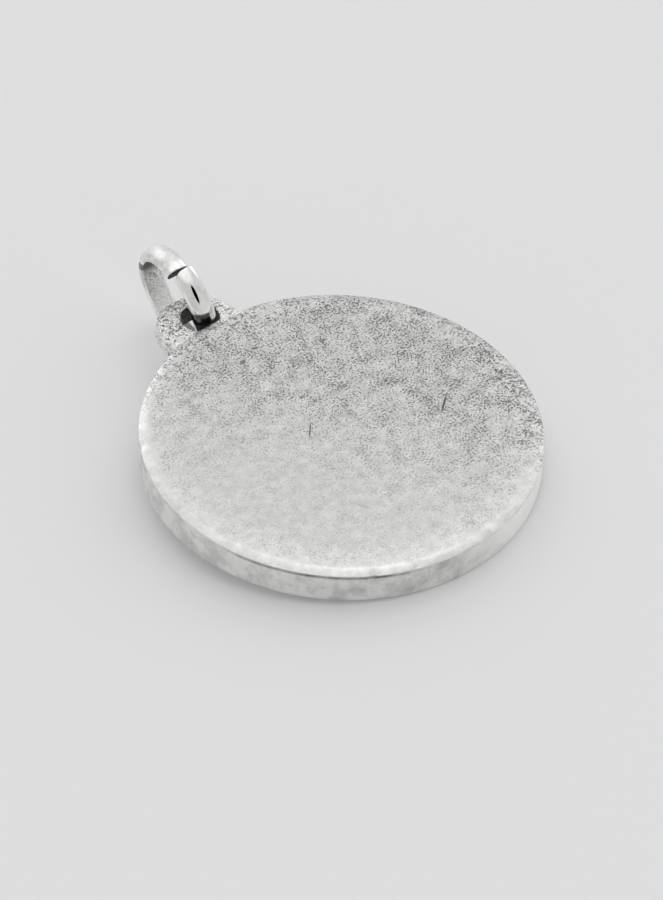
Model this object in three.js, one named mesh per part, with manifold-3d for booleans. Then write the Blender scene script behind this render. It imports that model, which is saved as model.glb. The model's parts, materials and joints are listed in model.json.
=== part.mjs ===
// Religious medal pendant: a round cast silver medal with an eyelet on its edge, lying on its front
// face, and the half-round jump ring that stands in the eyelet and props that end of the medal up.
//
// Millimetres. The origin is the centre of the medal's front face, which lies underneath. +Z is up
// from the surface that the pendant lies on, and +Y runs from the medal's centre to its eyelet.
// Both pieces are placed in the medal's own frame, with the medal flat in XY and its front face at
// Z = 0. That frame is then tilted about X until the ring and the medal's far rim rest together.

import * as THREE from "three";
import { mergeVertices } from "three/addons/utils/BufferGeometryUtils.js";
import Module from "manifold-3d";

const wasm = await Module();
wasm.setup();

const { cos, sin, asin, PI } = Math;
const radians = THREE.MathUtils.degToRad;
const degrees = THREE.MathUtils.radToDeg;

// Disc
const discDiameter = 20;
const discThickness = 1.9;
const shoulderWidth = 0.58; // worn slope round the back face
const shoulderDrop = 0.17;
const brinkRadius = 0.07; // crisp corner between the slope and the wall
const frontRound = 0.2; // rounded edge of the front face
const discSegments = 72;
const shoulderSegments = 4;
const brinkSegments = 2;
const frontSegments = 3;

// Jump ring, of half-round wire: flat inside, domed outside
const ringInnerDiameter = 4.6;
const ringWidth = 1.24; // along the ring's axis
const ringThickness = 0.61; // from the flat inside to the crown
const ringSideWall = 0.28; // flat side between the inside corner and the dome
const ringCornerRadius = 0.15; // inside corners
const ringOval = 0.04; // how far the ring is out of round, as a share of its radius
const ringOvalAngle = 52; // direction of its long axis
const ringCutAngle = 104; // direction of its cut
const ringCutGap = 0.16;
const ringEndShift = 0.23; // step between the two cut ends, along the ring's axis
const ringLean = 7.7; // of the ring's axis, from level
const ringYaw = -8; // of the ring's axis, from +X
const ringAside = 0.34; // of the ring's foot, from the medal's centre line
const ringSteps = 72;
const domeSegments = 8;
const cornerSegments = 2;

// Eyelet, a rounded ear cast in one with the disc's edge
const eyeletTipWall = 0.9;
const eyeletCheek = 1.23;
const eyeletThickness = 1.16;
const eyeletRound = 0.5; // of its outer edge
const holeLip = 0.14; // how far the hole flares at each face
const holeAside = 0.35;
const holeBite = 0.07; // how far the hole cuts into the line of the disc's wall
const eyeletSegments = 56;
const lipSegments = 5;

// Clearances
const ringToDisc = 0.2;
const ringToHole = 0.4; // at each side of the ring's foot

// How often the search for the resting tilt halves its range
const tiltHalvings = 40;

// Sizes that follow from the ones above
const discRadius = discDiameter / 2;
const ringRadius = ringInnerDiameter / 2;
const holeRadius = ringWidth / 2 + ringToHole;
const holeReach = discRadius + holeRadius - holeBite;
const eyeletRadius = holeRadius + eyeletCheek;
const eyeletReach = holeReach + holeRadius + eyeletTipWall - eyeletRadius;
const eyeletHeight = discThickness / 2;

/** Points along an arc in a profile's plane, both ends included. */
function arc(centre, radii, fromDegrees, toDegrees, segments) {
  return Array.from({ length: segments + 1 }, (_, step) => {
    const angle = radians(fromDegrees + ((toDegrees - fromDegrees) * step) / segments);
    return new THREE.Vector2(centre[0] + radii[0] * cos(angle), centre[1] + radii[1] * sin(angle));
  });
}

/** A profile turned about +Z. */
function turned(profile, segments) {
  return new THREE.LatheGeometry(profile, segments).rotateX(PI / 2);
}

/** A closed geometry as a solid that can be joined to another. */
function solidFrom(geometry) {
  const bare = geometry.clone();
  bare.deleteAttribute("normal");
  bare.deleteAttribute("uv");
  const merged = mergeVertices(bare);
  const corners = merged.index.array;
  const triangles = [];
  for (let i = 0; i < corners.length; i += 3) {
    const [a, b, c] = corners.slice(i, i + 3);
    if (a !== b && b !== c && c !== a) {
      triangles.push(a, b, c);
    }
  }
  const vertProperties = Float32Array.from(merged.attributes.position.array);
  const triVerts = Uint32Array.from(triangles);
  return new wasm.Manifold(new wasm.Mesh({ numProp: 3, vertProperties, triVerts }));
}

function geometryFrom(solid) {
  const { vertProperties, triVerts } = solid.getMesh();
  const geometry = new THREE.BufferGeometry();
  geometry.setAttribute("position", new THREE.BufferAttribute(vertProperties, 3));
  geometry.setIndex(new THREE.BufferAttribute(triVerts, 1));
  geometry.computeVertexNormals();
  return geometry;
}

/** The disc: flat front, rounded front edge, straight wall, crisp brink, worn slope, flat back. */
function discGeometry() {
  const slopeRadius = (shoulderWidth ** 2 + shoulderDrop ** 2) / (2 * shoulderDrop);
  const slopeTurn = asin(shoulderWidth / slopeRadius);
  const slopeStart = 90 - degrees(slopeTurn);
  const flatRadius = discRadius - shoulderWidth - brinkRadius * (1 - sin(slopeTurn));
  const slopeCentre = [flatRadius, discThickness - slopeRadius];
  const brinkHeight = discThickness - shoulderDrop - brinkRadius * cos(slopeTurn);
  const brinkCentre = [discRadius - brinkRadius, brinkHeight];
  const frontCentre = [discRadius - frontRound, frontRound];
  const front = arc(frontCentre, [frontRound, frontRound], -90, 0, frontSegments);
  const brink = arc(brinkCentre, [brinkRadius, brinkRadius], 0, slopeStart, brinkSegments);
  const slope = arc(slopeCentre, [slopeRadius, slopeRadius], slopeStart, 90, shoulderSegments);
  const axisBottom = new THREE.Vector2(0, 0);
  const axisTop = new THREE.Vector2(0, discThickness);
  return turned([axisBottom, ...front, ...brink, ...slope.slice(1), axisTop], discSegments);
}

/** The eyelet's ear, without its hole: a thick round blank with a fully rounded edge. */
function earGeometry() {
  const half = eyeletThickness / 2;
  const edge = arc([eyeletRadius - eyeletRound, 0], [eyeletRound, half], -90, 90, 2 * lipSegments);
  const profile = [new THREE.Vector2(0, -half), ...edge, new THREE.Vector2(0, half)];
  return turned(profile, eyeletSegments).translate(0, eyeletReach, eyeletHeight);
}

/** What is cut out of the ear: narrowest at its middle, and flared to round lips at both faces. */
function holeGeometry() {
  const half = eyeletThickness / 2;
  const end = eyeletThickness;
  const mouth = holeRadius + holeLip;
  const waist = arc([mouth, 0], [holeLip, half], -90, -270, 2 * lipSegments);
  const profile = [
    new THREE.Vector2(0, -end),
    new THREE.Vector2(mouth, -end),
    ...waist,
    new THREE.Vector2(mouth, end),
    new THREE.Vector2(0, end),
  ];
  return turned(profile, eyeletSegments).translate(holeAside, holeReach, eyeletHeight);
}

/** The ring's inner radius in a direction, in degrees about its axis from its level diameter. */
function ringRadiusAt(direction) {
  return ringRadius * (1 + ringOval * cos(2 * radians(direction - ringOvalAngle)));
}

/** The line that the flat inside of the wire follows: almost a full turn, its ends out of line. */
class RingLine extends THREE.Curve {
  getPoint(share, target = new THREE.Vector3()) {
    const halfCut = degrees(ringCutGap / 2 / ringRadius);
    const turn = halfCut + (360 - 2 * halfCut) * share;
    const radius = ringRadiusAt(ringCutAngle + turn);
    const angle = radians(ringCutAngle + turn);
    const shift = ringEndShift / 2 - (ringEndShift * turn) / 360;
    return target.set(radius * cos(angle), radius * sin(angle), shift);
  }
}

/** The wire's section. Its X runs along the ring's axis, and its -Y away from the ring's centre. */
function ringSection() {
  const half = ringWidth / 2;
  const round = ringCornerRadius;
  const dome = ringThickness - ringSideWall;
  return new THREE.Shape([
    ...arc([half - round, -round], [round, round], 90, 0, cornerSegments),
    ...arc([0, -ringSideWall], [half, dome], 0, -180, domeSegments),
    ...arc([round - half, -round], [round, round], 180, 90, cornerSegments),
  ]);
}

function ringGeometry() {
  const options = { steps: ringSteps, extrudePath: new RingLine(), bevelEnabled: false };
  return new THREE.ExtrudeGeometry(ringSection(), options);
}

/** Turns the ring's own axes to where it stands: X along its level diameter, Z along its axis. */
function ringBasis() {
  const yaw = radians(ringYaw);
  const lean = radians(ringLean);
  const axis = new THREE.Vector3(cos(yaw) * cos(lean), sin(yaw) * cos(lean), sin(lean));
  const level = new THREE.Vector3(0, 0, 1).cross(axis).normalize();
  const rise = axis.clone().cross(level);
  return { level, turn: new THREE.Matrix4().makeBasis(level, rise, axis) };
}

/** Height of a mesh's lowest point once the medal's frame is tilted. */
function lowestPoint(mesh, tilt) {
  mesh.updateMatrix();
  const corners = mesh.geometry.attributes.position;
  const corner = new THREE.Vector3();
  let lowest = Infinity;
  for (let i = 0; i < corners.count; i += 1) {
    corner.fromBufferAttribute(corners, i).applyMatrix4(mesh.matrix);
    lowest = Math.min(lowest, corner.y * sin(tilt) + corner.z * cos(tilt));
  }
  return lowest;
}

/** The tilt at which the ring's bottom and the medal's far rim touch the surface together. */
function restTilt(medalMesh, ringMesh) {
  let flattest = 0;
  let steepest = asin((ringInnerDiameter + 2 * ringThickness) / discDiameter);
  for (let halving = 0; halving < tiltHalvings; halving += 1) {
    const tilt = (flattest + steepest) / 2;
    if (lowestPoint(ringMesh, tilt) < lowestPoint(medalMesh, tilt)) {
      flattest = tilt;
    } else {
      steepest = tilt;
    }
  }
  return flattest;
}

const castLook = { color: 0xbdbdbb, roughness: 0.5, metalness: 1 };
const polishedLook = { color: 0xe0e0de, roughness: 0.12, metalness: 1 };
const castSilver = new THREE.MeshStandardMaterial(castLook);
const polishedSilver = new THREE.MeshStandardMaterial(polishedLook);

const eyelet = solidFrom(earGeometry()).subtract(solidFrom(holeGeometry()));
const medal = new THREE.Mesh(geometryFrom(solidFrom(discGeometry()).add(eyelet)), castSilver);
medal.name = "medal";

const { level, turn } = ringBasis();
const jumpRing = new THREE.Mesh(ringGeometry(), polishedSilver);
jumpRing.name = "jump_ring";
jumpRing.quaternion.setFromRotationMatrix(turn);
jumpRing.position
  .set(ringAside, discRadius + ringToDisc + ringThickness / 2, eyeletHeight)
  .addScaledVector(level, ringRadiusAt(180) + ringThickness / 2);

const medalFrame = new THREE.Group();
medalFrame.add(medal, jumpRing);
medalFrame.rotation.x = restTilt(medal, jumpRing);

const pendant = new THREE.Group();
pendant.add(medalFrame);

export default pendant;
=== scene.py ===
import json
import logging
from dataclasses import dataclass
from enum import Enum
from math import asin, atan2, cos, exp, hypot, pi, radians, sin, tau

import bmesh
import bpy
from mathutils import Matrix, Vector, noise


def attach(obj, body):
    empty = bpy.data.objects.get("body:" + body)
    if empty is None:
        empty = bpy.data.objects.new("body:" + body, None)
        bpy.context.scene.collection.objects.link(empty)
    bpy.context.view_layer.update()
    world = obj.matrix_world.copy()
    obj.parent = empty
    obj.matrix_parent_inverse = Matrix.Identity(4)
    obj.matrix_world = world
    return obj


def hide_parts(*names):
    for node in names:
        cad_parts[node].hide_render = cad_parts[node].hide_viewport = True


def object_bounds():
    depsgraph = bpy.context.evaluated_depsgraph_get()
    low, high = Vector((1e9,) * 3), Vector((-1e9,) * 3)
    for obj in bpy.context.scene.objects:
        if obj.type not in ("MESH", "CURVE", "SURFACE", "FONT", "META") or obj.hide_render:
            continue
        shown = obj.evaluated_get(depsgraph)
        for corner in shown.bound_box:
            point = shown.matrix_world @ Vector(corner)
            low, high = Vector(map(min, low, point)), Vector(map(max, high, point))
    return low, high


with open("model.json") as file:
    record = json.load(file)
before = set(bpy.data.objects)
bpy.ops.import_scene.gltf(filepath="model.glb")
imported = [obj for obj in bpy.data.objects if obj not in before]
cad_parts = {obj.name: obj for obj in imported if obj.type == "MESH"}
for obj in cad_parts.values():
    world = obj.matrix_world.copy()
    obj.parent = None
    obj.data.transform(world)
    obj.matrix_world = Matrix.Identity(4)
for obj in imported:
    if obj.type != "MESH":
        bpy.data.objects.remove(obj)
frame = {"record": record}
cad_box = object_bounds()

log = logging.getLogger("pendant")

MM = 0.001
WHOLE_FRAME = (663, 900)  # width and height of the picture, in pixels
SENSOR = 36.0  # side of Blender's own sensor, in millimetres
WELD = 1e-4  # points closer than this are one, in millimetres
JOIN_WELD = 1e-3  # the same after a Boolean
SILVER_TINT = (1.0, 0.995, 0.985)
PICTURE_RIGHT = (0.714, -0.70)  # the picture's right, along the medal's face


class Slot(Enum):
    """The record's material slots."""

    CAST = "cast_silver"
    POLISHED = "polished_silver"


class Node(Enum):
    """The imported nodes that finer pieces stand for."""

    MEDAL = "medal"
    JUMP_RING = "jump_ring"


class Part(Enum):
    """Zones of the medal, each with a finish of its own."""

    FACE = 0
    WALL = 1
    EYELET = 2
    HOLE = 3


class Side(Enum):
    """Sides of the ring's wire, each with a finish of its own."""

    OUTSIDE = 0
    INSIDE = 1
    END = 2


@dataclass(frozen=True)
class MedalFrame:
    """The medal's own frame: disc flat in XY, front face at Z = 0, eyelet on +Y, in millimetres.

    The frame is tilted about X in the scene, because the jump ring stands under the eyelet.
    """

    tilt: float

    @classmethod
    def from_record(cls, record: dict) -> "MedalFrame":
        """Read the tilt from the front face's normal.

        Args:
            record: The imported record.

        Returns:
            The frame with its tilt in radians.
        """
        mount = next(m for m in record["mounts"] if m["name"] == "front_face")
        return cls(tilt=asin(mount["axis"][1]))

    def to_scene(self) -> Matrix:
        """Return the matrix from the medal's frame in millimetres to the scene in metres."""
        return Matrix.Rotation(self.tilt, 4, "X") @ Matrix.Scale(MM, 4)


@dataclass(frozen=True)
class Corner:
    """One corner of a turned outline, rounded by cutting it back along both sides.

    The pitch is the greatest length of an edge on the way to the next corner.
    """

    radius: float
    height: float
    pitch: float = 0.14
    cut: float = 0.0
    segments: int = 1


def turned_outline(bm: bmesh.types.BMesh, corners: list[Corner]) -> list:
    """Draw an open outline in the XZ plane, divide its long edges and round its corners.

    Args:
        bm: The mesh that takes the outline.
        corners: The outline's corners in order.

    Returns:
        The outline's edges and vertices, ready for a spin.
    """
    verts = [bm.verts.new((c.radius, 0.0, c.height)) for c in corners]
    edges = [bm.edges.new(pair) for pair in zip(verts, verts[1:])]
    for edge, corner, after in zip(edges, corners, corners[1:]):
        length = edge.calc_length()
        cuts = int(length / max(corner.pitch, 1.02 * corner.cut, 1.02 * after.cut))
        if cuts > 1:
            bmesh.ops.subdivide_edges(bm, edges=[edge], cuts=cuts - 1)
    for corner in corners:
        if corner.cut:
            place = Vector((corner.radius, 0.0, corner.height))
            vert = min(bm.verts, key=lambda v: (v.co - place).length)
            bmesh.ops.bevel(
                bm, geom=[vert], offset=corner.cut, offset_type="OFFSET", affect="VERTICES",
                segments=corner.segments, profile=0.5, material=-1,
            )
    return list(bm.edges) + list(bm.verts)


def turned_solid(corners: list[Corner], steps: int) -> bmesh.types.BMesh:
    """Turn an outline a full turn about Z and close it at its poles.

    Args:
        corners: The outline's corners, from one point of the axis to another.
        steps: The number of steps in the turn.

    Returns:
        The closed solid with its faces outwards.
    """
    bm = bmesh.new()
    geom = turned_outline(bm, corners)
    bmesh.ops.spin(bm, geom=geom, axis=(0, 0, 1), cent=(0, 0, 0), angle=tau, steps=steps, use_merge=True)
    bmesh.ops.remove_doubles(bm, verts=bm.verts, dist=WELD)
    bmesh.ops.recalc_face_normals(bm, faces=bm.faces)
    return bm


def object_from(bm: bmesh.types.BMesh, name: str) -> bpy.types.Object:
    """Make a scene object of a finished mesh.

    Args:
        bm: The finished mesh, which is freed.
        name: The object's name.

    Returns:
        The new object, linked to the scene.
    """
    mesh = bpy.data.meshes.new(name)
    bm.to_mesh(mesh)
    bm.free()
    piece = bpy.data.objects.new(name, mesh)
    bpy.context.scene.collection.objects.link(piece)
    return piece


def combined(base: bpy.types.Object, other: bpy.types.Object, operation: str) -> bmesh.types.BMesh:
    """Join a solid to another, or cut it with another, and take both away.

    Args:
        base: The solid that is kept.
        other: The solid that is joined or cuts.
        operation: The Boolean modifier's operation.

    Returns:
        The result as a new mesh.
    """
    modifier = base.modifiers.new("combine", "BOOLEAN")
    modifier.operation = operation
    modifier.solver = "EXACT"
    modifier.object = other
    bpy.context.view_layer.update()
    result = base.evaluated_get(bpy.context.evaluated_depsgraph_get())
    bm = bmesh.new()
    bm.from_mesh(result.to_mesh())
    result.to_mesh_clear()
    for piece in (base, other):
        mesh = piece.data
        bpy.data.objects.remove(piece)
        bpy.data.meshes.remove(mesh)
    return bm


def smooth_step(value: float, low: float, high: float) -> float:
    """Return how far a value is from low to high, eased at both ends and held to 0 to 1."""
    share = min(1.0, max(0.0, (value - low) / (high - low)))
    return share * share * (3 - 2 * share)


class NodeDesk:
    """Adds nodes to a node tree, with their settings and links in one call each."""

    def __init__(self, tree: bpy.types.NodeTree) -> None:
        """Start on a tree."""
        self.tree = tree

    def add(self, kind: str, feeds: dict | None = None, **settings: object) -> bpy.types.Node:
        """Add a node.

        Args:
            kind: The node's type name, without the word ShaderNode.
            feeds: Values or sockets for its inputs, by name or number.
            **settings: Properties of the node.

        Returns:
            The node.
        """
        node = self.tree.nodes.new(kind if kind.startswith("Node") else f"ShaderNode{kind}")
        for name, value in settings.items():
            setattr(node, name, value)
        for name, value in (feeds or {}).items():
            socket = node.inputs[name]
            if isinstance(value, bpy.types.NodeSocket):
                self.tree.links.new(value, socket)
            else:
                socket.default_value = value
        return node

    def math(self, operation: str, first: object, second: object = 0.0, third: object = 0.0) -> object:
        """Return the output of a Math node."""
        return self.add("Math", {0: first, 1: second, 2: third}, operation=operation).outputs[0]

    def ramp(self, value: object, low: float, high: float, out_low: float, out_high: float) -> object:
        """Return a value mapped smoothly from one range to another."""
        feeds = {"Value": value, "From Min": low, "From Max": high, "To Min": out_low, "To Max": out_high}
        return self.add("MapRange", feeds, interpolation_type="SMOOTHSTEP").outputs["Result"]

    def noise(self, vector: object, scale: float, detail: float = 2.0, rough: float = 0.5) -> object:
        """Return the value of a noise texture."""
        feeds = {"Vector": vector, "Scale": scale, "Detail": detail, "Roughness": rough}
        return self.add("TexNoise", feeds).outputs["Fac"]

    def mix(self, share: object, first: tuple, second: tuple) -> object:
        """Return a mix of two colours."""
        node = self.add("Mix", {0: share}, data_type="RGBA")
        for socket, value in ((node.inputs[6], first), (node.inputs[7], second)):
            if isinstance(value, bpy.types.NodeSocket):
                self.tree.links.new(value, socket)
            else:
                socket.default_value = value
        return node.outputs[2]


def silver(level: float) -> tuple[float, float, float, float]:
    """Return silver's colour at a level of brightness, a touch warmer than grey."""
    red, green, blue = (level * share for share in SILVER_TINT)
    return (red, green, blue, 1.0)


def finished(
    material: bpy.types.Material, colour: object, roughness: object, bump: bpy.types.Node,
) -> bpy.types.Material:
    """Link a metal's changing colour, roughness and relief to its shader.

    Args:
        material: The material.
        colour: The base colour.
        roughness: The roughness.
        bump: The bump node.

    Returns:
        The same material.
    """
    shader = material.node_tree.nodes["Principled BSDF"]
    changing = {"Base Color": colour, "Roughness": roughness, "Normal": bump.outputs[0]}
    for name, socket in changing.items():
        material.node_tree.links.new(socket, shader.inputs[name])
    shader.inputs["Metallic"].default_value = 1.0
    return material


def medal_coordinates(desk: NodeDesk, medal_frame: MedalFrame) -> object:
    """Return the medal's own coordinates in millimetres, from Object coordinates.

    Args:
        desk: The desk of the material's tree.
        medal_frame: The medal's frame.

    Returns:
        A vector socket.
    """
    place = desk.add("TexCoord").outputs["Object"]
    feeds = {"Vector": place, "Rotation": (-medal_frame.tilt, 0.0, 0.0)}
    turn = desk.add("Mapping", feeds, vector_type="POINT")
    return desk.add("VectorMath", {0: turn.outputs[0], 3: 1 / MM}, operation="SCALE").outputs[0]


def cast_grain_group() -> bpy.types.NodeTree:
    """Build the group for the skin of cast silver: fine lumps and the pits between them.

    Returns:
        The node group, with Vector, Size, Pit Share in and Height, Pits out.
    """
    tree = bpy.data.node_groups.new("cast grain", "ShaderNodeTree")
    tree.interface.new_socket("Vector", in_out="INPUT", socket_type="NodeSocketVector")
    size = tree.interface.new_socket("Size", in_out="INPUT", socket_type="NodeSocketFloat")
    size.default_value = 0.15
    share = tree.interface.new_socket("Pit Share", in_out="INPUT", socket_type="NodeSocketFloat")
    share.default_value = 0.4
    tree.interface.new_socket("Height", in_out="OUTPUT", socket_type="NodeSocketFloat")
    tree.interface.new_socket("Pits", in_out="OUTPUT", socket_type="NodeSocketFloat")
    desk = NodeDesk(tree)
    given = desk.add("NodeGroupInput")
    pitch = desk.math("DIVIDE", 1.0, given.outputs["Size"])
    lumps = desk.noise(given.outputs["Vector"], pitch, 2.5, 0.6)
    clouds = desk.noise(given.outputs["Vector"], desk.math("MULTIPLY", pitch, 0.12), 3.0, 0.6)
    level = desk.math("MULTIPLY_ADD", clouds, 0.36, desk.math("SUBTRACT", lumps, 0.18))
    edge = desk.math("MULTIPLY_ADD", given.outputs["Pit Share"], 0.4, 0.3)
    deep = desk.math("SUBTRACT", edge, level)
    pits = desk.ramp(deep, -0.05, 0.12, 0.0, 1.0)
    height = desk.math("MULTIPLY_ADD", pits, -0.5, lumps)
    desk.add("NodeGroupOutput", {"Height": height, "Pits": pits})
    return tree


@dataclass(frozen=True)
class Mark:
    """A fine scratch or pit on the worn face, in the medal's frame."""

    x: float
    y: float
    angle: float
    length: float
    width: float
    depth: float = 1.0


@dataclass(frozen=True)
class WornFace:
    """Cast silver that has been worn nearly smooth, its grain still dark where it is least worn, and painted
    darker away from the camera as painted shade.
    """

    bright: float = 0.68
    dark: float = 0.13
    smooth: float = 0.34
    rough: float = 0.5
    grain_size: float = 0.1
    grain_and_shade_heading: tuple[float, float] = (0.807, 0.609)  # where most of the grain is kept and where the face is painted darkest as painted shade
    streak_angle: float = 24.0
    streak_scale: tuple[float, float, float] = (0.22, 1.7, 1.0)
    marks: tuple[Mark, ...] = ()

    def material(self, grain: bpy.types.NodeTree, medal_frame: MedalFrame) -> bpy.types.Material:
        """Build the material.

        Args:
            grain: The cast grain's group.
            medal_frame: The medal's frame.

        Returns:
            The material.
        """
        material = bpy.data.materials.new("worn silver face")
        material.use_nodes = True
        desk = NodeDesk(material.node_tree)
        place = medal_coordinates(desk, medal_frame)
        split = desk.add("SeparateXYZ", {0: place})
        x, y = split.outputs[0], split.outputs[1]
        sideways = desk.math("MULTIPLY", y, self.grain_and_shade_heading[1])
        across = desk.math("MULTIPLY_ADD", x, self.grain_and_shade_heading[0], sideways)
        drift = desk.noise(place, 0.2, 3.0, 0.6)
        # Partly worn grain, partly painted shade: pits and dark tone grow away from the camera.
        grain_kept_and_shade = desk.ramp(desk.math("MULTIPLY_ADD", drift, 5.0, across), -4.5, 8.0, 0.32, 0.86)
        skin = desk.add("Group", {"Vector": place, "Size": self.grain_size}, node_tree=grain)
        share = desk.ramp(grain_kept_and_shade, 0.0, 1.0, 0.3, 0.47)
        desk.tree.links.new(share, skin.inputs["Pit Share"])
        pits = desk.math("MULTIPLY", skin.outputs["Pits"], desk.ramp(grain_kept_and_shade, 0.0, 1.0, 0.12, 1.0))
        reach = desk.add("VectorMath", {0: place, 1: (1.0, 1.0, 0.0)}, operation="MULTIPLY").outputs[0]
        reach = desk.add("VectorMath", {0: reach}, operation="LENGTH").outputs["Value"]
        unkept = desk.ramp(grain_kept_and_shade, 0.45, 0.85, 1.0, 0.0)
        lip = desk.math("MULTIPLY", desk.ramp(reach, 9.1, 9.5, 0.0, 0.85), unkept)
        pits = desk.math("MULTIPLY", pits, desk.math("SUBTRACT", 1.0, lip))
        turn = (0.0, 0.0, radians(self.streak_angle))
        feeds = {"Vector": place, "Rotation": turn, "Scale": self.streak_scale}
        along = desk.add("Mapping", feeds).outputs[0]
        streak = desk.ramp(desk.noise(along, 1.0, 3.0, 0.6), 0.5, 0.7, 0.0, 0.16)
        film = desk.math("MULTIPLY", streak, grain_kept_and_shade)
        pits = desk.math("ADD", pits, desk.math("MULTIPLY", film, desk.math("SUBTRACT", 1.0, pits)))
        for mark in self.marks:
            pits = desk.math("MAXIMUM", pits, self.mark_mask(desk, place, mark))
        colour = desk.mix(pits, silver(self.bright), silver(self.dark))
        mottle = desk.math("SUBTRACT", desk.noise(place, 1.6, 4.0, 0.8), 0.5)
        rubbed = desk.ramp(reach, 7.5, 9.6, 1.0, 1.08)
        tone = desk.math("MULTIPLY_ADD", mottle, desk.ramp(grain_kept_and_shade, 0.0, 1.0, 0.75, 1.0), rubbed)
        colour = desk.add("VectorMath", {0: colour, 3: tone}, operation="SCALE").outputs[0]
        roughness = desk.ramp(pits, 0.0, 1.0, self.smooth, self.rough)
        fine = desk.math("MULTIPLY", skin.outputs["Height"], desk.ramp(grain_kept_and_shade, 0.0, 1.0, 0.15, 1.0))
        relief = desk.math("SUBTRACT", fine, desk.math("MULTIPLY", pits, 0.4))
        bump = desk.add("Bump", {"Strength": 0.5, "Distance": 0.02 * MM, "Height": relief})
        return finished(material, colour, roughness, bump)

    def mark_mask(self, desk: NodeDesk, place: object, mark: Mark) -> object:
        """Return a mask that is 1 in the middle of a mark and 0 away from it.

        Args:
            desk: The desk of the material's tree.
            place: The medal's coordinates.
            mark: The mark.

        Returns:
            A value socket.
        """
        centre = Vector((mark.x, mark.y, 0.0))
        turn = Matrix.Rotation(-radians(mark.angle), 3, "Z")
        feeds = {"Vector": place, "Location": -(turn @ centre), "Rotation": (0.0, 0.0, -radians(mark.angle))}
        local = desk.add("Mapping", feeds, vector_type="POINT").outputs[0]
        scale = (1 / mark.length, 1 / mark.width, 0.0)
        local = desk.add("VectorMath", {0: local, 1: scale}, operation="MULTIPLY").outputs[0]
        away = desk.add("VectorMath", {0: local}, operation="LENGTH").outputs["Value"]
        return desk.ramp(away, 0.25, 0.5, mark.depth, 0.0)


@dataclass(frozen=True)
class CastSkin:
    """Cast silver as it came from the mould, or nearly: grainy and blotched."""

    name: str
    bright: float
    dark: float
    smooth: float
    rough: float
    grain_size: float
    pit_share: float
    relief: float
    blotch: float
    speck: float
    # strength of the painted shade line under the brink; when set, the wall is also painted lighter towards
    # the picture's right
    brink_shade_line: float = 0.0

    def material(self, grain: bpy.types.NodeTree, medal_frame: MedalFrame) -> bpy.types.Material:
        """Build the material.

        Args:
            grain: The cast grain's group.
            medal_frame: The medal's frame.

        Returns:
            The material.
        """
        material = bpy.data.materials.new(self.name)
        material.use_nodes = True
        desk = NodeDesk(material.node_tree)
        place = medal_coordinates(desk, medal_frame)
        feeds = {"Vector": place, "Size": self.grain_size, "Pit Share": self.pit_share}
        skin = desk.add("Group", feeds, node_tree=grain)
        blotches = desk.ramp(desk.noise(place, 0.9, 3.0, 0.6), 0.38, 0.66, 0.0, 1.0)
        specks = desk.math("MULTIPLY", skin.outputs["Pits"], self.speck)
        dull = desk.math("MULTIPLY_ADD", blotches, self.blotch, specks)
        # Painted shade: a dark line just under the brink, only on the side facing the camera.
        if self.brink_shade_line:
            split = desk.add("SeparateXYZ", {0: place})
            sideways = desk.math("MULTIPLY", split.outputs[1], PICTURE_RIGHT[1])
            right = desk.math("MULTIPLY_ADD", split.outputs[0], PICTURE_RIGHT[0], sideways)
            height = split.outputs[2]
            below = desk.ramp(height, 1.64, 1.72, 1.0, 0.2)
            brink_shade_line = desk.math("MULTIPLY", desk.ramp(height, 1.46, 1.6, 0.0, self.brink_shade_line), below)
            brink_shade_line = desk.math("MULTIPLY", brink_shade_line, desk.ramp(right, -5.6, -4.0, 0.0, 1.0))
            brink_shade_line = desk.math("MULTIPLY", brink_shade_line, desk.ramp(right, 2.4, 5.5, 1.0, 0.0))
            # Painted highlight: fewer blotches towards the picture's right, where the wall catches a grazing
            # reflection.
            dull = desk.math("MULTIPLY", dull, desk.ramp(right, 5.0, 9.0, 1.0, 0.2))
            dull = desk.math("ADD", dull, brink_shade_line)
        colour = desk.mix(dull, silver(self.bright), silver(self.dark))
        # Painted highlight: the wall's colour is lightened towards the picture's right.
        if self.brink_shade_line:
            right_side_highlight = desk.ramp(right, 6.0, 9.3, 1.0, 1.22)
            colour = desk.add("VectorMath", {0: colour, 3: right_side_highlight}, operation="SCALE").outputs[0]
        roughness = desk.ramp(dull, 0.0, 1.0, self.smooth, self.rough)
        feeds = {"Strength": 0.8, "Distance": self.relief * MM, "Height": skin.outputs["Height"]}
        bump = desk.add("Bump", feeds)
        return finished(material, colour, roughness, bump)


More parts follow.
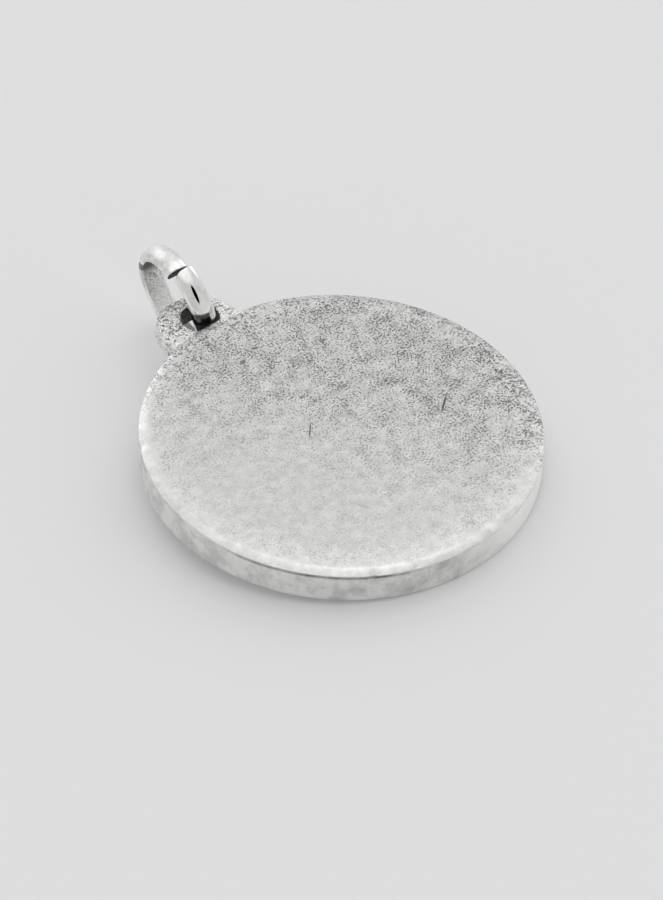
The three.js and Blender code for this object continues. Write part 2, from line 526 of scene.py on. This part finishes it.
@dataclass(frozen=True)
class PolishedSilver:
    """Polished silver wire, filmed over at the top of the ring and painted nearly black at its foot as a
    painted dark reflection.
    """

    bright: float = 0.93
    dull: float = 0.5
    foot_shade: float = 0.06
    film: float = 0.42
    smooth: float = 0.06
    rough: float = 0.2

    def material(self, grain: bpy.types.NodeTree, medal_frame: MedalFrame) -> bpy.types.Material:
        """Build the material.

        Args:
            grain: The cast grain's group.
            medal_frame: The medal's frame.

        Returns:
            The material.
        """
        material = bpy.data.materials.new("polished silver wire")
        material.use_nodes = True
        desk = NodeDesk(material.node_tree)
        place = medal_coordinates(desk, medal_frame)
        skin = desk.add("Group", {"Vector": place, "Size": 0.09, "Pit Share": 0.2}, node_tree=grain)
        film = desk.ramp(desk.noise(place, 1.6, 3.0, 0.6), 0.45, 0.75, 0.0, 1.0)
        specks = desk.math("MULTIPLY", skin.outputs["Pits"], 0.3)
        worn = desk.math("MAXIMUM", desk.math("MULTIPLY", film, 0.35), specks)
        colour = desk.mix(worn, silver(self.bright), silver(self.dull))
        split = desk.add("SeparateXYZ", {0: place})
        height, beyond = split.outputs[2], split.outputs[1]
        # Painted reflection: the foot by the eyelet is painted nearly black for the shaded wall it reflects.
        foot = desk.ramp(split.outputs[0], 0.42, 0.52, 1.0, 0.0)
        foot = desk.math("MULTIPLY", desk.ramp(height, 2.08, 1.98, 0.0, 0.87), foot)
        foot = desk.math("MULTIPLY", foot, desk.ramp(split.outputs[0], -0.42, -0.32, 0.0, 1.0))
        foot = desk.math("MULTIPLY", foot, desk.ramp(height, 1.4, 1.5, 0.35, 1.0))
        upper = desk.ramp(height, 2.0, 2.6, 0.0, 1.0)
        upper = desk.math("MULTIPLY", desk.ramp(beyond, 12.75, 13.0, 0.0, 1.0), upper)
        veil = desk.ramp(desk.noise(place, 2.6, 3.0, 0.6), 0.35, 0.65, 0.1, 0.5)
        colour = desk.mix(desk.math("MULTIPLY", upper, veil), colour, silver(self.dull))
        colour = desk.mix(foot, colour, silver(self.foot_shade))
        roughness = desk.ramp(worn, 0.0, 1.0, self.smooth, self.rough)
        roughness = desk.math("MAXIMUM", roughness, desk.math("MULTIPLY", upper, self.film))
        ripple = desk.noise(place, 1.1, 1.0, 0.4)
        relief = desk.math("MULTIPLY_ADD", ripple, 1.0, desk.math("MULTIPLY", skin.outputs["Height"], 0.08))
        bump = desk.add("Bump", {"Strength": 0.4, "Distance": 0.03 * MM, "Height": relief})
        return finished(material, colour, roughness, bump)


@dataclass(frozen=True)
class RingInside:
    """The flat inside of the wire, left grainy, and painted darker at the top and the foot of the ring as
    painted shade.
    """

    bright: float = 1.0
    dark: float = 0.1
    smooth: float = 0.3
    rough: float = 0.5

    def material(self, grain: bpy.types.NodeTree, medal_frame: MedalFrame) -> bpy.types.Material:
        """Build the material.

        Args:
            grain: The cast grain's group.
            medal_frame: The medal's frame.

        Returns:
            The material.
        """
        material = bpy.data.materials.new("wire inside with painted shade")
        material.use_nodes = True
        desk = NodeDesk(material.node_tree)
        place = medal_coordinates(desk, medal_frame)
        split = desk.add("SeparateXYZ", {0: place})
        height = split.outputs[2]
        beyond = split.outputs[1]
        skin = desk.add("Group", {"Vector": place, "Size": 0.12, "Pit Share": 0.45}, node_tree=grain)
        # Painted shade: the inside is darker towards the top of the ring, where it faces down, and at the
        # foot in the hole.
        high = desk.ramp(height, 0.8, 1.8, 0.0, 0.92)
        low = desk.ramp(beyond, 14.3, 13.9, 0.0, 0.85)
        low = desk.math("MULTIPLY", low, desk.ramp(height, 0.6, 0.0, 0.0, 1.0))
        dull = desk.math("MULTIPLY", skin.outputs["Pits"], desk.ramp(height, 0.1, 1.1, 0.1, 0.65))
        dull = desk.math("MAXIMUM", dull, desk.math("MAXIMUM", high, low))
        colour = desk.mix(dull, silver(self.bright), silver(self.dark))
        roughness = desk.ramp(dull, 0.0, 1.0, self.smooth, self.rough)
        bump = desk.add("Bump", {"Strength": 0.6, "Distance": 0.04 * MM, "Height": skin.outputs["Height"]})
        return finished(material, colour, roughness, bump)


@dataclass(frozen=True)
class Nick:
    """A small dent in the medal's brink."""

    angle: float
    width: float
    depth: float


@dataclass
class Medal:
    """The cast medal: disc and pierced eyelet in one piece, in millimetres."""

    radius: float = 10.0
    thickness: float = 1.9
    shoulder_width: float = 0.58
    shoulder_drop: float = 0.14
    rim_fall: float = 0.05
    brink_round: float = 0.075
    front_round: float = 0.2
    ear_radius: float = 2.25
    ear_reach: float = 10.6
    ear_thickness: float = 1.16
    ear_round: float = 0.5
    hole_radius: float = 0.95
    hole_aside: float = 0.25
    hole_bite: float = 0.07
    hole_lip: float = 0.14
    steps: int = 640
    ear_steps: int = 150
    nicks: tuple[Nick, ...] = (
        Nick(-123.4, 0.16, 0.06), Nick(-110.8, 0.1, 0.03), Nick(146.0, 0.22, 0.05),
        Nick(-150.0, 0.3, 0.02), Nick(-80.0, 0.25, 0.02), Nick(170.0, 0.35, 0.03),
    )

    def build(self, medal_frame: MedalFrame) -> bpy.types.Object:
        """Build the medal's mesh.

        Args:
            medal_frame: The medal's frame.

        Returns:
            The medal, without its finishes.
        """
        ear = object_from(self.ear(), "ear")
        hole = object_from(self.hole(), "hole")
        eyelet = object_from(combined(ear, hole, "DIFFERENCE"), "eyelet")
        bm = combined(object_from(self.disc(), "disc"), eyelet, "UNION")
        bmesh.ops.remove_doubles(bm, verts=bm.verts, dist=JOIN_WELD)
        bmesh.ops.triangulate(bm, faces=bm.faces)
        self.soften_root(bm)
        self.wear(bm)
        self.zone(bm)
        bmesh.ops.transform(bm, matrix=medal_frame.to_scene(), verts=bm.verts)
        for face in bm.faces:
            face.smooth = True
        return object_from(bm, "worn_medal")

    def disc(self) -> bmesh.types.BMesh:
        """Return the disc: flat front, straight wall, crisp brink, worn slope and flat back."""
        tangent = 0.54 * self.shoulder_width
        corners = [
            Corner(0.0, self.thickness, 0.5),
            Corner(self.radius - self.shoulder_width + tangent, self.thickness, 0.3, 0.9 * tangent, 8),
            Corner(self.radius, self.thickness - self.shoulder_drop, 0.12, self.brink_round, 3),
            Corner(self.radius, 0.0, 0.7, self.front_round, 4),
            Corner(0.0, 0.0),
        ]
        return turned_solid(corners, self.steps)

    def ear(self) -> bmesh.types.BMesh:
        """Return the eyelet's blank, a thick round ear with a rounded edge."""
        half = self.ear_thickness / 2
        corners = [
            Corner(0.0, half),
            Corner(self.ear_radius, half, half, 0.98 * min(half, self.ear_round), 9),
            Corner(self.ear_radius, -half, 0.14, 0.98 * min(half, self.ear_round), 9),
            Corner(0.0, -half),
        ]
        bm = turned_solid(corners, self.ear_steps)
        bmesh.ops.translate(bm, vec=(0.0, self.ear_reach, self.thickness / 2), verts=bm.verts)
        return bm

    def hole(self) -> bmesh.types.BMesh:
        """Return what is cut out of the ear, narrow at its middle and flared at both faces."""
        half = self.ear_thickness / 2
        mouth = self.hole_radius + self.hole_lip
        corners = [
            Corner(0.0, 2 * half),
            Corner(mouth, 2 * half),
            Corner(mouth, half, mouth),
            Corner(self.hole_radius, half, 0.12, 0.9 * self.hole_lip, 5),
            Corner(self.hole_radius, -half, mouth, 0.9 * self.hole_lip, 5),
            Corner(mouth, -half),
            Corner(mouth, -2 * half),
            Corner(0.0, -2 * half),
        ]
        bm = turned_solid(corners, self.ear_steps)
        bmesh.ops.translate(bm, vec=(self.hole_aside, self.hole_reach(), self.thickness / 2), verts=bm.verts)
        return bm

    def hole_reach(self) -> float:
        """Return how far the hole's middle lies from the medal's centre."""
        return self.radius + self.hole_radius - self.hole_bite

    def soften_root(self, bm: bmesh.types.BMesh) -> None:
        """Round the line where the eyelet runs into the disc's wall.

        Args:
            bm: The medal's mesh.
        """
        half = self.ear_thickness / 2
        near = [
            v for v in bm.verts
            if v.co.y > 0 and abs(hypot(v.co.x, v.co.y) - self.radius) < 0.16
            and abs(v.co.z - self.thickness / 2) < half + 0.08 and abs(v.co.x) < self.ear_radius + 0.25
        ]
        for _ in range(5):
            bmesh.ops.smooth_vert(
                bm, verts=near, factor=0.5, use_axis_x=True, use_axis_y=True, use_axis_z=True,
            )

    def wear(self, bm: bmesh.types.BMesh) -> None:
        """Dent the brink, wave the wall and the face a little, and roughen the eyelet.

        Args:
            bm: The medal's mesh.
        """
        bm.normal_update()
        brink = self.thickness - self.shoulder_drop
        for vert in bm.verts:
            x, y, z = vert.co
            reach = hypot(x, y)
            if reach > self.radius + 0.02:
                share = smooth_step(reach, self.radius + 0.02, self.radius + 0.3)
                lump = noise.fractal(vert.co * 4.5, 0.7, 2.0, 3)
                vert.co += vert.normal * (0.045 * lump - 0.02) * share
                continue
            rim = smooth_step(reach, self.radius - 1.2, self.radius)
            wave = 0.5 + 0.5 * noise.noise(vert.co * 0.9)
            lip = exp(-(((z - brink) / 0.12) ** 2)) * rim
            dent = 0.012 * wave * rim + 0.01 * lip * (0.5 + 0.5 * noise.noise(vert.co * 2.7))
            angle = atan2(y, x)
            for nick in self.nicks:
                away = (angle - radians(nick.angle) + pi) % tau - pi
                dent += nick.depth * lip * exp(-((away * self.radius / nick.width) ** 2))
            inward = Vector((-x, -y, 0.0)).normalized() if reach else Vector()
            vert.co += inward * dent
            if z > self.thickness / 2:
                fall = self.rim_fall * smooth_step(reach, self.radius - 2.2, self.radius)
                vert.co.z -= fall * (z - self.thickness / 2) * 2 / self.thickness
            if z > brink:
                vert.co.z -= 0.6 * dent + 0.006 * (0.5 + 0.5 * noise.noise(vert.co * 0.35))

    def zone(self, bm: bmesh.types.BMesh) -> None:
        """Give each face of the mesh the zone that its finish follows.

        Args:
            bm: The medal's mesh.
        """
        brink = self.thickness - self.shoulder_drop - self.rim_fall - 0.03
        for face in bm.faces:
            centre = face.calc_center_median()
            reach = hypot(centre.x, centre.y)
            across = hypot(centre.x - self.hole_aside, centre.y - self.hole_reach())
            if reach > self.radius - 0.1 and across < self.hole_radius + 0.06:
                face.material_index = Part.HOLE.value
            elif reach > self.radius + 0.01:
                face.material_index = Part.EYELET.value
            elif centre.z > brink or centre.z < 0.02:
                face.material_index = Part.FACE.value
            else:
                face.material_index = Part.WALL.value

    def dress(self, piece: bpy.types.Object, finishes: dict[Part, bpy.types.Material]) -> None:
        """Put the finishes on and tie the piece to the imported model.

        Args:
            piece: The medal.
            finishes: One material for each zone.
        """
        for part in Part:
            piece.data.materials.append(finishes[part])
        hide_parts(Node.MEDAL.value)
        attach(piece, "root")


@dataclass
class JumpRing:
    """The sawn ring of half-round wire that hangs in the eyelet, in millimetres and degrees."""

    inner_radius: float = 2.3
    width: float = 1.24
    thickness: float = 0.6
    side_wall: float = 0.28
    corner: float = 0.15
    oval: float = 0.04
    oval_angle: float = 52.0
    cut_angle: float = 104.0
    cut_gap: float = 0.08
    cut_wedge: float = 0.06
    cut_corner: float = 0.16
    end_shift: float = 0.23
    lean: float = 7.7
    yaw: float = -8.0
    aside: float = 0.34
    foot: float = 10.505
    height: float = 0.95
    packed_thickness: float = 0.61
    steps: int = 216
    end_round: float = 0.06

    def radius_at(self, angle: float) -> float:
        """Return the ring's inner radius at an angle in radians."""
        return self.inner_radius * (1 + self.oval * cos(2 * (angle - radians(self.oval_angle))))

    def stance(self) -> Matrix:
        """Return the matrix that stands the ring in the eyelet, in the medal's frame."""
        yaw, lean = radians(self.yaw), radians(self.lean)
        axis = Vector((cos(yaw) * cos(lean), sin(yaw) * cos(lean), sin(lean)))
        level = Vector((0.0, 0.0, 1.0)).cross(axis).normalized()
        rise = axis.cross(level)
        turn = Matrix((level, rise, axis)).transposed().to_4x4()
        foot = Vector((self.aside, self.foot, self.height))
        middle = foot + level * (self.radius_at(pi) + self.packed_thickness / 2)
        return Matrix.Translation(middle) @ turn

    def section(self, bm: bmesh.types.BMesh) -> list:
        """Draw the wire's section in the XZ plane: domed outside, flat inside, soft corners.

        Args:
            bm: The mesh that takes the section.

        Returns:
            The section's edges and vertices.
        """
        half = self.width / 2
        bmesh.ops.create_circle(bm, cap_ends=False, radius=1.0, segments=36)
        tiny = 1e-4
        bmesh.ops.delete(bm, geom=[v for v in bm.verts if v.co.y < -tiny], context="VERTS")
        ends = sorted((v for v in bm.verts if abs(v.co.y) < tiny), key=lambda v: v.co.x)
        rise = self.thickness - self.side_wall
        dome = Matrix(((0, rise, 0, self.side_wall), (0, 0, 0, 0), (half, 0, 0, 0), (0, 0, 0, 1)))
        bmesh.ops.transform(bm, matrix=dome, verts=bm.verts)
        feet = [bm.verts.new((0.0, 0.0, end.co.z)) for end in ends]
        bm.edges.new((ends[0], feet[0]))
        bm.edges.new((feet[0], feet[1]))
        bm.edges.new((feet[1], ends[1]))
        for foot in feet:
            bmesh.ops.bevel(
                bm, geom=[foot], offset=self.corner, offset_type="OFFSET", affect="VERTICES",
                segments=5, profile=0.5, material=-1,
            )
        bmesh.ops.translate(bm, vec=(self.inner_radius, 0.0, 0.0), verts=bm.verts)
        return list(bm.edges) + list(bm.verts)

    def build(self, medal_frame: MedalFrame) -> bpy.types.Object:
        """Build the ring's mesh.

        Args:
            medal_frame: The medal's frame.

        Returns:
            The ring, without its finish.
        """
        bm = bmesh.new()
        geom = self.section(bm)
        half_cut = self.cut_gap / 2 / self.inner_radius
        bmesh.ops.rotate(bm, cent=(0, 0, 0), matrix=Matrix.Rotation(half_cut, 3, "Z"), verts=bm.verts)
        bmesh.ops.spin(
            bm, geom=geom, axis=(0, 0, 1), cent=(0, 0, 0), angle=tau - 2 * half_cut, steps=self.steps,
            use_duplicate=False,
        )
        rims = [edge for edge in bm.edges if edge.is_boundary]
        bmesh.ops.holes_fill(bm, edges=rims)
        bmesh.ops.recalc_face_normals(bm, faces=bm.faces)
        bmesh.ops.bevel(
            bm, geom=rims, offset=self.end_round, offset_type="OFFSET", affect="EDGES",
            segments=3, profile=0.5, material=-1,
        )
        bm.normal_update()
        for face in bm.faces:
            centre = face.calc_center_median()
            out = Vector((centre.x, centre.y, 0.0)).normalized()
            if face.normal.dot(out) < -0.8:
                face.material_index = Side.INSIDE.value
            elif abs(face.normal.cross(out).z) > 0.75:
                face.material_index = Side.END.value
        start = radians(self.cut_angle)
        for vert in bm.verts:
            x, y, z = vert.co
            turn = atan2(y, x) % tau
            ends = exp(-((turn / 0.12) ** 2)) - exp(-(((tau - turn) / 0.12) ** 2))
            turn -= ends * (self.cut_wedge / self.inner_radius) * z / self.width
            worn = smooth_step(-z / self.width, 0.1, 0.5) ** 2 * exp(-((turn / 0.1) ** 2))
            turn += self.cut_corner / self.inner_radius * worn
            reach = hypot(x, y) + self.radius_at(start + turn) - self.inner_radius
            shift = self.end_shift * (0.5 - turn / tau)
            vert.co = (reach * cos(start + turn), reach * sin(start + turn), z + shift)
        bmesh.ops.transform(bm, matrix=medal_frame.to_scene() @ self.stance(), verts=bm.verts)
        for face in bm.faces:
            face.smooth = len(face.verts) <= 4
        return object_from(bm, "half_round_ring")

    def dress(self, piece: bpy.types.Object, finishes: dict[Side, bpy.types.Material]) -> None:
        """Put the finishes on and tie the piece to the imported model.

        Args:
            piece: The ring.
            finishes: One material for each side of the wire.
        """
        for side in Side:
            piece.data.materials.append(finishes[side])
        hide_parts(Node.JUMP_RING.value)
        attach(piece, "root")


@dataclass(frozen=True)
class PictureCamera:
    """The camera, above the medal and across it from its eyelet, placed in the medal's frame."""

    aim: tuple[float, float, float] = (-1.384, -0.773679, 1.900004)
    back: tuple[float, float, float] = (-0.502525, -0.513161, 0.695797)
    right: tuple[float, float, float] = (0.740972, -0.670296, 0.040797)
    distance: float = 240.0
    focal_pixels: float = 4903.9

    def place(self, medal_frame: MedalFrame) -> bpy.types.Object:
        """Make the camera and let the scene use it.

        Args:
            medal_frame: The medal's frame.

        Returns:
            The camera.
        """
        data = bpy.data.cameras.new("camera")
        data.sensor_width = SENSOR
        data.lens = self.focal_pixels * SENSOR / max(WHOLE_FRAME)
        data.clip_start = MM
        camera = bpy.data.objects.new("camera", data)
        bpy.context.scene.collection.objects.link(camera)
        back, right = Vector(self.back).normalized(), Vector(self.right).normalized()
        turn = Matrix((right, back.cross(right), back)).transposed().to_4x4()
        middle = medal_frame.to_scene() @ (Vector(self.aim) + back * self.distance)
        camera.matrix_world = Matrix.Translation(middle) @ Matrix.Rotation(medal_frame.tilt, 4, "X") @ turn
        bpy.context.scene.camera = camera
        return camera


def heading(azimuth: float, elevation: float) -> Vector:
    """Return the unit vector towards a place round the object.

    Args:
        azimuth: Degrees about Z, from -Y towards +X.
        elevation: Degrees above the floor.

    Returns:
        The unit vector.
    """
    turn, rise = radians(azimuth), radians(elevation)
    return Vector((sin(turn) * cos(rise), -cos(turn) * cos(rise), sin(rise)))


@dataclass(frozen=True)
class Patch:
    """A soft round patch of the light tent, brighter or darker than the rest, in degrees.

    It is full inside the inner angle from its middle and fades to nothing at the outer one.
    """

    azimuth: float
    elevation: float
    inner: float
    outer: float
    strength: float


@dataclass(frozen=True)
class SoftStudio:
    """A pale floor inside a white light tent, brightest overhead, with a dark slot at one side."""

    floor_level: float = 0.745
    floor_glow: float = 0.107
    floor_span: float = 3.0
    floor_roughness: float = 0.9
    floor_specular: float = 0.1
    panel_size: float = 0.08
    panel_watts: float = 0.02
    panel_azimuth: float = 120.0
    panel_elevation: float = 66.0
    panel_distance: float = 0.3
    walls: float = 0.665
    roof: Patch = Patch(150.0, 87.0, 12.0, 43.0, 0.38)
    camera_side: Patch = Patch(-41.0, 32.0, 16.0, 48.0, -0.08)
    left_window: Patch = Patch(168.0, 27.0, 12.0, 27.0, 0.8)
    right_window: Patch = Patch(100.0, 30.0, 12.0, 27.0, 0.5)
    low_strip: Patch = Patch(149.0, 10.0, 6.0, 14.0, 0.45)
    slot_azimuth: float = -4.0
    slot_elevation: float = 35.0
    slot_half_height: float = 19.0
    slot_half_width: float = 9.0
    slot_depth: float = 0.66

    def build(self, height: float) -> None:
        """Lay the floor and light the tent.

        Args:
            height: The height of the surface that the object rests on, in metres.
        """
        self.floor(height)
        self.panel()
        self.tent()
        bpy.context.scene.view_settings.view_transform = "Standard"

    def floor(self, height: float) -> None:
        """Lay a plain pale floor.

        Args:
            height: The floor's height, in metres.
        """
        bm = bmesh.new()
        bmesh.ops.create_grid(bm, x_segments=1, y_segments=1, size=self.floor_span)
        bmesh.ops.translate(bm, vec=(0, 0, height), verts=bm.verts)
        floor = object_from(bm, "floor")
        material = bpy.data.materials.new("pale card")
        material.use_nodes = True
        shader = material.node_tree.nodes["Principled BSDF"]
        level = self.floor_level
        shader.inputs["Base Color"].default_value = (level, level, level, 1.0)
        shader.inputs["Roughness"].default_value = self.floor_roughness
        shader.inputs["Specular IOR Level"].default_value = self.floor_specular
        shader.inputs["Emission Color"].default_value = (1.0, 1.0, 1.0, 1.0)
        shader.inputs["Emission Strength"].default_value = self.floor_glow
        floor.data.materials.append(material)

    def panel(self) -> None:
        """Hang a small soft light above and behind the object."""
        data = bpy.data.lights.new("soft panel", "AREA")
        data.shape = "DISK"
        data.size = self.panel_size
        data.energy = self.panel_watts
        panel = bpy.data.objects.new("soft panel", data)
        panel.location = heading(self.panel_azimuth, self.panel_elevation) * self.panel_distance
        panel.rotation_euler = (-panel.location).to_track_quat("-Z", "Y").to_euler()
        bpy.context.scene.collection.objects.link(panel)

    def tent(self) -> None:
        """Light the tent from its own surface."""
        world = bpy.data.worlds.new("light tent")
        world.use_nodes = True
        bpy.context.scene.world = world
        desk = NodeDesk(world.node_tree)
        ray = desk.add("TexCoord").outputs["Generated"]
        upward = desk.add("SeparateXYZ", {0: ray}).outputs[2]

        def towards(direction: Vector) -> object:
            """Return how far the ray points in a direction."""
            return desk.add("VectorMath", {0: ray, 1: direction}, operation="DOT_PRODUCT").outputs["Value"]

        level = self.walls
        for patch in (self.roof, self.camera_side, self.left_window, self.right_window, self.low_strip):
            near = towards(heading(patch.azimuth, patch.elevation))
            edges = cos(radians(patch.outer)), cos(radians(patch.inner))
            level = desk.math("ADD", level, desk.ramp(near, *edges, 0.0, patch.strength))
        side = towards(heading(self.slot_azimuth + 90.0, 0.0))
        across = desk.math("DIVIDE", side, sin(radians(self.slot_half_width)))
        rise = desk.math("DIVIDE", desk.math("ARCSINE", upward), radians(self.slot_half_height))
        rise = desk.math("SUBTRACT", rise, self.slot_elevation / self.slot_half_height)
        away = desk.math("SQRT", desk.math("MULTIPLY_ADD", across, across, desk.math("MULTIPLY", rise, rise)))
        facing = desk.ramp(towards(heading(self.slot_azimuth, 0.0)), 0.0, 0.1, 0.0, self.slot_depth)
        slot = desk.ramp(away, 0.7, 1.1, 1.0, 0.0)
        level = desk.math("SUBTRACT", level, desk.math("MULTIPLY", slot, facing))
        desk.tree.links.new(level, world.node_tree.nodes["Background"].inputs["Color"])


# Scratches and pits of the face: x, y, angle, length, width and depth
FACE_MARKS = (
    Mark(-1.25, 0.95, 45.0, 1.5, 0.10),
    Mark(5.10, -1.90, 36.0, 1.9, 0.14),
    Mark(-2.10, 7.05, -50.0, 1.9, 0.05, 0.6),
    Mark(0.58, 7.10, -20.0, 0.5, 0.28, 0.8),
    Mark(-0.56, 6.72, 20.0, 0.5, 0.35, 0.8),
    Mark(0.02, 2.95, 10.0, 0.5, 0.25, 0.7),
    Mark(-7.88, -2.11, 30.0, 0.5, 0.5, 0.16),
    Mark(-2.89, -4.49, -60.0, 1.4, 0.2, 0.18),
    Mark(6.74, -1.03, -60.0, 0.4, 0.12, 0.9),
)


# The wall carries a painted shade line under the brink and a painted highlight towards the picture's right.
WALL_SKIN = CastSkin(
    name="cast silver wall", bright=0.84, dark=0.2, smooth=0.4, rough=0.55, grain_size=0.5,
    pit_share=0.36, relief=0.012, blotch=0.3, speck=0.16, brink_shade_line=0.6,
)
EYELET_SKIN = CastSkin(
    name="cast silver eyelet", bright=1.0, dark=0.03, smooth=0.22, rough=0.5, grain_size=0.14,
    pit_share=0.36, relief=0.2, blotch=0.12, speck=0.72,
)
# Partly oxide, partly painted shade: the bore inside the eyelet is dark.
BORE_SKIN = CastSkin(
    name="darkened bore", bright=0.2, dark=0.05, smooth=0.5, rough=0.7, grain_size=0.12,
    pit_share=0.5, relief=0.03, blotch=0.4, speck=0.5,
)
# Painted shade: the ring's cut ends are nearly black for the shadow in the gap of the cut.
CUT_END_SHADE_SKIN = CastSkin(
    name="cut ends painted dark", bright=0.16, dark=0.05, smooth=0.4, rough=0.6, grain_size=0.1,
    pit_share=0.4, relief=0.01, blotch=0.2, speck=0.5,
)


def main() -> None:
    """Build the pendant, the studio and the camera."""
    logging.basicConfig(level=logging.INFO, format="%(name)s: %(message)s")
    medal_frame = MedalFrame.from_record(frame["record"])
    grain = cast_grain_group()

    medal = Medal()
    piece = medal.build(medal_frame)
    finishes = {
        Part.FACE: WornFace(marks=FACE_MARKS).material(grain, medal_frame),
        Part.WALL: WALL_SKIN.material(grain, medal_frame),
        Part.EYELET: EYELET_SKIN.material(grain, medal_frame),
        Part.HOLE: BORE_SKIN.material(grain, medal_frame),
    }
    medal.dress(piece, finishes)
    log.info("%s: %d faces", piece.name, len(piece.data.polygons))

    ring = JumpRing()
    piece = ring.build(medal_frame)
    finishes = {
        Side.OUTSIDE: PolishedSilver().material(grain, medal_frame),
        Side.INSIDE: RingInside().material(grain, medal_frame),
        Side.END: CUT_END_SHADE_SKIN.material(grain, medal_frame),
    }
    ring.dress(piece, finishes)
    log.info("%s: %d faces", piece.name, len(piece.data.polygons))

    SoftStudio().build(cad_box[0][2])
    PictureCamera().place(medal_frame)
    log.info("studio and camera in place")


if __name__ == "__main__":
    main()
